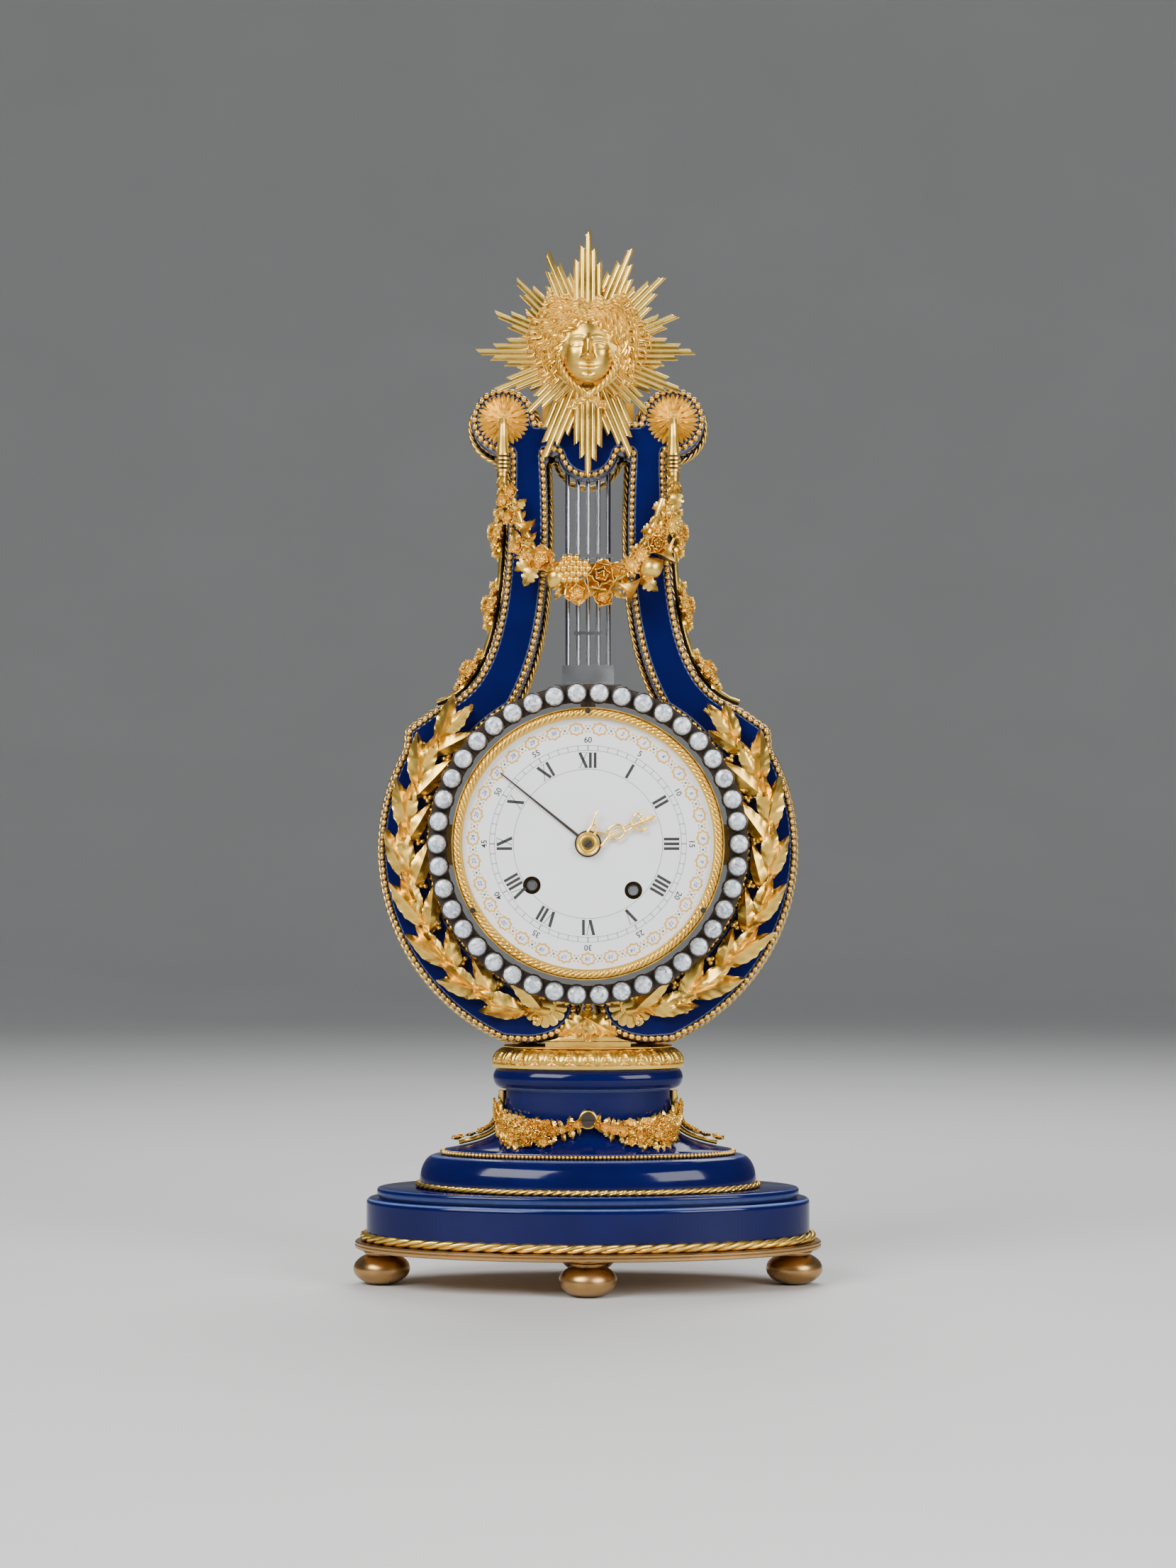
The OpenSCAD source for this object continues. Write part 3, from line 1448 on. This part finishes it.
// Hands
module hand_at(angle, y) {
    at_dial(middle)
    slab(y - hand_t, y)
    rotate(-angle)
    children();
}

module date_hand() {
    color(steel)
    hand_at(date_angle, date_hand_y)
    difference() {
        union() {
            circle(r = date_disc_r);
            polygon([[-0.9, 0], [0.9, 0], [0.35, date_l], [-0.35, date_l]]);
        }
        circle(r = date_pipe_r + 0.02);
    }
}

module hour_hand() {
    eye_r = 2.6;
    eye_z = hour_l * 0.52;
    color(gilt)
    hand_at(hour_angle, hour_hand_y)
    difference() {
        union() {
            circle(r = hub_r - 0.4);
            polygon([[-2.2, 0], [2.2, 0], [1.4, eye_z], [3.4, hour_l * 0.78], [0, hour_l],
                [-3.4, hour_l * 0.78],
                [-1.4, eye_z]]);
            translate([0, eye_z])
            circle(r = eye_r);
        }
        circle(r = hour_pipe_r + 0.02);
        translate([0, eye_z])
        circle(r = eye_r * 0.5);
    }
}

module minute_hand() {
    screw_r = 2.6;
    color(gilt) {
        hand_at(minute_angle, minute_hand_y)
        difference() {
            union() {
                circle(r = hub_r);
                polygon([[-1.6, 0], [1.6, 0], [1.1, minute_l * 0.8], [0, minute_l], [-1.1, minute_l * 0.8]]);
            }
            circle(r = cannon_r + 0.02);
        }
        at_dial(middle)
        difference() {
            bar_y(screw_r, minute_hand_y - hand_t - 1.4, minute_hand_y - hand_t);
            block([-screw_r - 1, minute_hand_y - hand_t - 2, -0.35],
                [screw_r + 1, minute_hand_y - hand_t - 0.8, 0.35]);
        }
    }
}

// Pendulum
block_z = arm_plate_z + arm_plate_t;
rod_low_z = block_z + block_h;
head_z = opening_top_z + 9;
head_h = 6;
rod_xs = [for (i = [0:rod_count - 1]) (i - (rod_count - 1) / 2) * rod_pitch];
rod_span = rod_xs[rod_count - 1] + rod_r + 1.4;
module pendulum_rods() {
    color(steel)
    for (x = rod_xs)
        translate([x, rod_y, rod_low_z])
        cylinder(r = rod_r, h = head_z - rod_low_z);
}

// Bar with a bore for each rod that it crosses
module crossbar(half, z, h) {
    difference() {
        block([-half, rod_y - rod_r - 1, z], [half, rod_y + rod_r + 1, z + h]);
        for (x = rod_xs)
            translate([x, rod_y, z - 1])
            cylinder(r = rod_r + run_gap, h = h + 2);
    }
}

module pendulum_frame() {
    block_y = 8;
    lug_y = crutch_y + 2.4;
    lug_t = 3;
    color(steel) {
        block([-block_a, rod_y - block_y, block_z], [block_a, rod_y + block_y, rod_low_z]);
        block([-arm_plate_a, -ring_back, arm_plate_z], [arm_plate_a, rod_y + block_y, block_z]);
        block([-3, lug_y, crutch_pin_z - 3], [3, lug_y + lug_t, block_z - 1]);
        translate([0, 0, crutch_pin_z])
        bar_y(crutch_pin_r, crutch_y - 2.4, lug_y + 1);
        crossbar(rod_span, rod_low_z + upper_bar_rise, 2.2);
        crossbar(rod_pitch + rod_r + 1, rod_low_z + lower_bar_rise, 2);
    }
}

// Head that holds the rods' tops, with the knife edge that rocks in the bracket's cradle
module knife_edge() {
    head_y = 2.6;
    stem_a = 4;
    color(steel) {
        block([-rod_span, rod_y - head_y, head_z], [rod_span, rod_y + head_y, head_z + head_h]);
        block([-stem_a, rod_y - head_y, head_z + head_h - overlap], [stem_a, rod_y + head_y, pivot_z + 3]);
        slab(bridge_front_y + 0.5, bridge_back_y - 0.5)
        polygon([[0, pivot_z], [2, pivot_z + 3.1], [-2, pivot_z + 3.1]]);
    }
}

setting_y = -ring_back - ring_t;
setting_front_y = setting_y - setting_d;
module at_stones() {
    for (i = [0:stone_count - 1])
        let (g = 90 + 360 * (i + 0.5) / stone_count)
        at_dial(stone_circle_r * [cos(g), sin(g)])
        children();
}

module setting_ring() {
    rim = setting_r - 1.2;
    color([0.2, 0.18, 0.16])
    difference() {
        union() {
            at_dial(middle)
            turned([[stone_circle_r - rim, -ring_back], [stone_circle_r + rim, -ring_back],
                [stone_circle_r + rim, setting_y], [stone_circle_r - rim, setting_y]]);
            at_stones()
            bar_y(setting_r, setting_front_y, setting_y + overlap);
        }
        at_stones()
        bar_y(stone_r + seat, setting_front_y - 1, setting_y - 0.3);
    }
}

module brilliants() {
    girdle_y = setting_front_y + 0.4;
    crown = 1.3;
    color([0.9, 0.94, 0.97])
    at_stones()
    turned([[0, setting_y - 0.6], [1, setting_y - 0.6], [stone_r, girdle_y + 0.3], [stone_r, girdle_y],
        [stone_r * 0.58, girdle_y - crown], [0, girdle_y - crown]]);
}

bun_feet();
base_plate();
rope_mouldings();
plinth();
cushion_tier();
bead_ring();
waist();
waist_swag();
swag_screws();
round_collar();
leaf_collar();
tie_rod();
tie_nut();
lyre_foot();
lyre_body();
front_bead_border();
back_rope_border();
ear_rosettes();
front_swag();
side_drops();
laurel_branches();
finial();
suspension_bracket();
sun_bracket();
sun_rays();
sun_mask();
drum();
drum_brackets();
bracket_screws();
rear_door();
hinge_pin();
dial();
bezel();
bezel_screws();
movement_plates();
pillars();
going_barrel();
going_arbor();
strike_barrel();
strike_arbor();
intermediate_wheel();
centre_wheel();
third_wheel();
escape_wheel();
anchor();
minute_wheel();
hour_wheel();
day_wheel();
date_wheel();
pin_wheel();
bell();
hammer();
minute_hand();
hour_hand();
date_hand();
pendulum_rods();
pendulum_frame();
knife_edge();
setting_ring();
brilliants();
